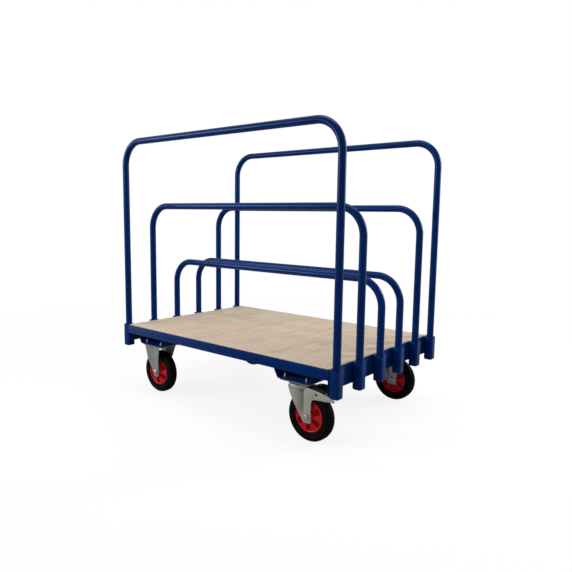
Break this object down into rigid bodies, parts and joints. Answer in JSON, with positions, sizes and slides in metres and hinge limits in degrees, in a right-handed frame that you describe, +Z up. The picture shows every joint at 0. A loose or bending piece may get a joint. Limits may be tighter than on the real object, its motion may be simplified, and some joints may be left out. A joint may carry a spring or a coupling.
{
  "type": "sheet goods cart",
  "caption": "Flat-deck cart on two fixed and two swivel castors, one braked, with rows of lift-out tube hoops in end sockets, for moving and storing boards on edge.",
  "frame": {"origin": "on the floor under the middle of the deck", "axes": "+X along the length towards the swivel castors, -Y towards the front, +Z up"},
  "size_m": [1.28, 0.8, 1.2043],
  "materials": {
    "paint": "gloss dark blue powder coat",
    "plywood": "plain plywood face, lightly sanded",
    "zinc": "zinc plated pressings",
    "steel": "plain steel",
    "plastic": "moulded red plastic",
    "rubber": "black rubber",
    "pedal": "black moulded plastic, and the black pin it turns on"
  },
  "bodies": {
    "frame": {"front_rail": "paint", "rear_rail": "paint", "left_end_rail": "paint", "right_end_rail": "paint", "cross_bearer_1": "paint", "cross_bearer_2": "paint", "cross_bearer_3": "paint", "deck_board": "plywood", "left_castor_channel": "paint", "right_castor_channel": "paint", "left_socket_1": "paint", "left_socket_2": "paint", "left_socket_3": "paint", "left_socket_4": "paint", "left_socket_5": "paint", "left_socket_6": "paint", "right_socket_1": "paint", "right_socket_2": "paint", "right_socket_3": "paint", "right_socket_4": "paint", "right_socket_5": "paint", "right_socket_6": "paint", "front_rigid_bracket": "zinc", "front_rigid_axle_bolt": "zinc", "front_rigid_roller_bearing": "steel", "rear_rigid_bracket": "zinc", "rear_rigid_axle_bolt": "zinc", "rear_rigid_roller_bearing": "steel", "front_swivel_top_plate": "zinc", "front_swivel_king_pin": "steel", "front_swivel_ball_ring": "steel", "rear_swivel_top_plate": "zinc", "rear_swivel_king_pin": "steel", "rear_swivel_ball_ring": "steel"},
    "hoop_1": {"hoop_1_tall": "paint"},
    "hoop_2": {"hoop_2_medium": "paint"},
    "hoop_3": {"hoop_3_low": "paint"},
    "hoop_4": {"hoop_4_low": "paint"},
    "hoop_5": {"hoop_5_medium": "paint"},
    "hoop_6": {"hoop_6_tall": "paint"},
    "front_rigid_wheel": {"front_rigid_wheel_centre": "plastic", "front_rigid_tyre": "rubber"},
    "rear_rigid_wheel": {"rear_rigid_wheel_centre": "plastic", "rear_rigid_tyre": "rubber"},
    "front_swivel": {"front_swivel_fork": "zinc", "front_swivel_brake_pin": "pedal", "front_swivel_axle_bolt": "zinc", "front_swivel_roller_bearing": "steel"},
    "front_brake": {"front_swivel_brake_pedal": "pedal", "front_swivel_brake_shoe": "steel"},
    "front_swivel_wheel": {"front_swivel_wheel_centre": "plastic", "front_swivel_tyre": "rubber"},
    "rear_swivel": {"rear_swivel_fork": "zinc", "rear_swivel_axle_bolt": "zinc", "rear_swivel_roller_bearing": "steel"},
    "rear_swivel_wheel": {"rear_swivel_wheel_centre": "plastic", "rear_swivel_tyre": "rubber"}
  },
  "joints": [
    {"name": "hoop_1_lift", "type": "slide", "parent": "frame", "child": "hoop_1", "axis": [0, 0, 1], "range_m": [0, 0.12]},
    {"name": "hoop_2_lift", "type": "slide", "parent": "frame", "child": "hoop_2", "axis": [0, 0, 1], "range_m": [0, 0.12]},
    {"name": "hoop_3_lift", "type": "slide", "parent": "frame", "child": "hoop_3", "axis": [0, 0, 1], "range_m": [0, 0.12]},
    {"name": "hoop_4_lift", "type": "slide", "parent": "frame", "child": "hoop_4", "axis": [0, 0, 1], "range_m": [0, 0.12]},
    {"name": "hoop_5_lift", "type": "slide", "parent": "frame", "child": "hoop_5", "axis": [0, 0, 1], "range_m": [0, 0.12]},
    {"name": "hoop_6_lift", "type": "slide", "parent": "frame", "child": "hoop_6", "axis": [0, 0, 1], "range_m": [0, 0.12]},
    {"name": "front_rigid_wheel_spin", "type": "hinge", "parent": "frame", "child": "front_rigid_wheel", "pos_m": [-0.438, -0.329, 0.1], "axis": [0, 1, 0], "continuous": true},
    {"name": "rear_rigid_wheel_spin", "type": "hinge", "parent": "frame", "child": "rear_rigid_wheel", "pos_m": [-0.438, 0.329, 0.1], "axis": [0, 1, 0], "continuous": true},
    {"name": "front_swivel_turn", "type": "hinge", "parent": "frame", "child": "front_swivel", "pos_m": [0.427, -0.329, 0.21], "axis": [0, 0, 1], "continuous": true},
    {"name": "front_brake_pedal_lift", "type": "hinge", "parent": "front_swivel", "child": "front_brake", "pos_m": [0.519, -0.329, 0.19699], "axis": [0, 1, 0], "range_deg": [-10, 0]},
    {"name": "front_swivel_wheel_spin", "type": "hinge", "parent": "front_swivel", "child": "front_swivel_wheel", "pos_m": [0.475, -0.329, 0.1], "axis": [0, 1, 0], "continuous": true},
    {"name": "rear_swivel_turn", "type": "hinge", "parent": "frame", "child": "rear_swivel", "pos_m": [0.427, 0.329, 0.21], "axis": [0, 0, 1], "continuous": true},
    {"name": "rear_swivel_wheel_spin", "type": "hinge", "parent": "rear_swivel", "child": "rear_swivel_wheel", "pos_m": [0.475, 0.329, 0.1], "axis": [0, 1, 0], "continuous": true}
  ]
}
